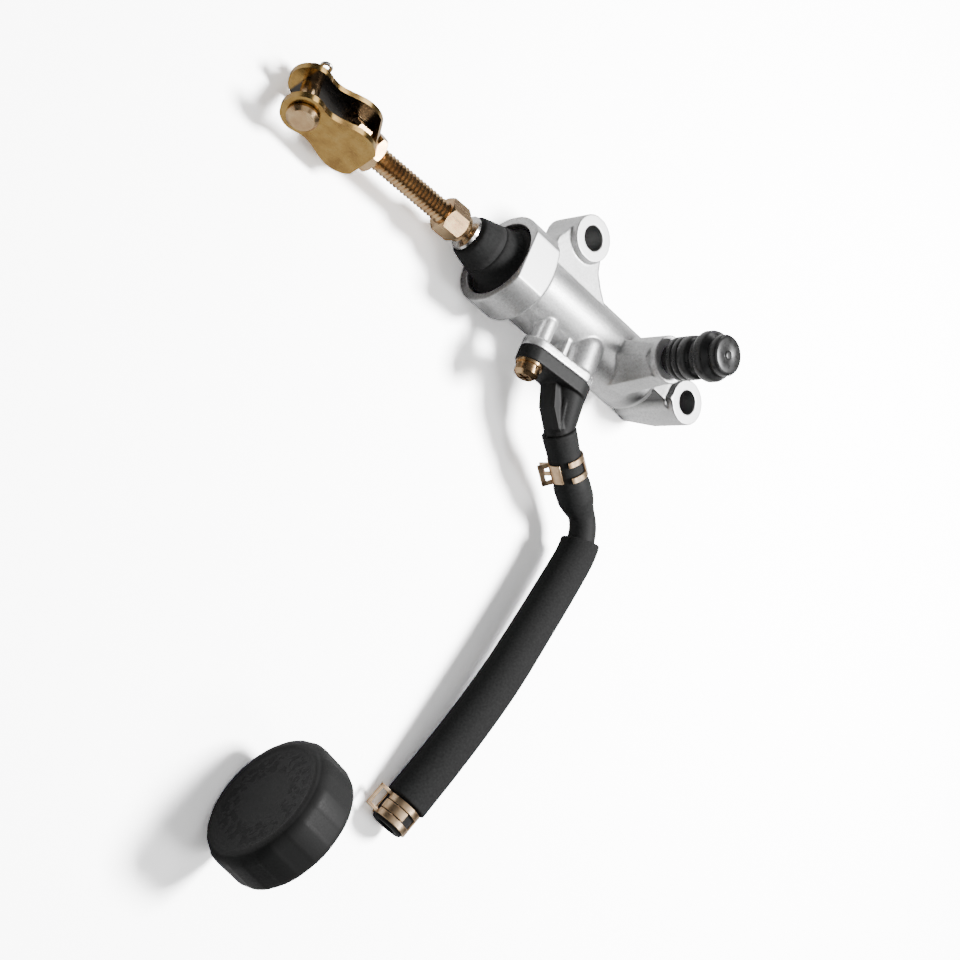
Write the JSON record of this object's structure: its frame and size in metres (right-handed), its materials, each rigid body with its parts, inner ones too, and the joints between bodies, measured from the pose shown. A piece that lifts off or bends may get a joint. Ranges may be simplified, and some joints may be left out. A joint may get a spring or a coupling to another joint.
{
  "type": "brake master cylinder",
  "caption": "Rear brake master cylinder with adjustable clevis pushrod, rubber boot, plastic inlet elbow, sleeved reservoir hose, outlet plug and a loose reservoir cap.",
  "frame": {"origin": "centre of the rear mounting hole on its machined face", "axes": "+Z out of the mounting faces, +X along the bore towards the clevis, +Y towards the reservoir hose"},
  "size_m": [0.1913, 0.2443, 0.0678],
  "materials": {
    "cast_aluminium": "blasted casting",
    "machined_aluminium": "machined",
    "seal_rubber": "smooth",
    "boot_rubber": "matte",
    "hose_rubber": "satin",
    "plug_rubber": "semi gloss",
    "spring_steel": "bright",
    "yellow_zinc": "yellow zinc plate",
    "black_plastic": "satin moulding"
  },
  "bodies": {
    "body": {"cylinder_body": "cast_aluminium", "stop_washer": "spring_steel", "circlip": "spring_steel", "return_spring": "spring_steel", "dust_boot": "boot_rubber", "hose_elbow": "black_plastic", "elbow_o_ring": "seal_rubber", "elbow_screw": "yellow_zinc", "screw_spring_washer": "yellow_zinc", "screw_flat_washer": "yellow_zinc", "hose": "hose_rubber", "hose_sleeve": "hose_rubber", "hose_clip_upper": "yellow_zinc", "hose_clip_lower": "yellow_zinc"},
    "piston": {"piston": "machined_aluminium", "primary_cup": "seal_rubber", "secondary_cup": "seal_rubber", "spring_seat": "machined_aluminium"},
    "pushrod": {"pushrod": "yellow_zinc", "rod_hex": "yellow_zinc", "boot_collar": "spring_steel", "clevis": "yellow_zinc", "clevis_inner_nut": "yellow_zinc", "clevis_locknut": "yellow_zinc"},
    "clevis_pin": {"clevis_pin": "yellow_zinc", "cotter_pin": "spring_steel"},
    "outlet_plug": {"outlet_plug": "plug_rubber"},
    "reservoir_cap": {"reservoir_cap": "black_plastic"}
  },
  "joints": [
    {"name": "piston_stroke", "type": "slide", "parent": "body", "child": "piston", "axis": [-1, 0, 0], "range_m": [0, 0.01], "stiffness_N_per_m": 1500, "springref_m": -0.01, "deforming": ["return_spring", "dust_boot"]},
    {"name": "pushrod_swing", "type": "hinge", "parent": "piston", "child": "pushrod", "pos_m": [0.077, 0, -0.0133], "axis": [0, -1, 0], "range_deg": [0, 7], "deforming": ["dust_boot"]},
    {"name": "clevis_pin_turn", "type": "hinge", "parent": "pushrod", "child": "clevis_pin", "pos_m": [0.17586, 0, -0.01848], "axis": [-0.0188, -0.9336, -0.3579], "continuous": true},
    {"name": "outlet_plug_pull", "type": "slide", "parent": "body", "child": "outlet_plug", "axis": [0, 0, 1], "range_m": [0, 0.03]},
    {"name": "reservoir_cap_lift", "type": "slide", "parent": "body", "child": "reservoir_cap", "axis": [0, 0, 1], "range_m": [0, 0.06]}
  ]
}
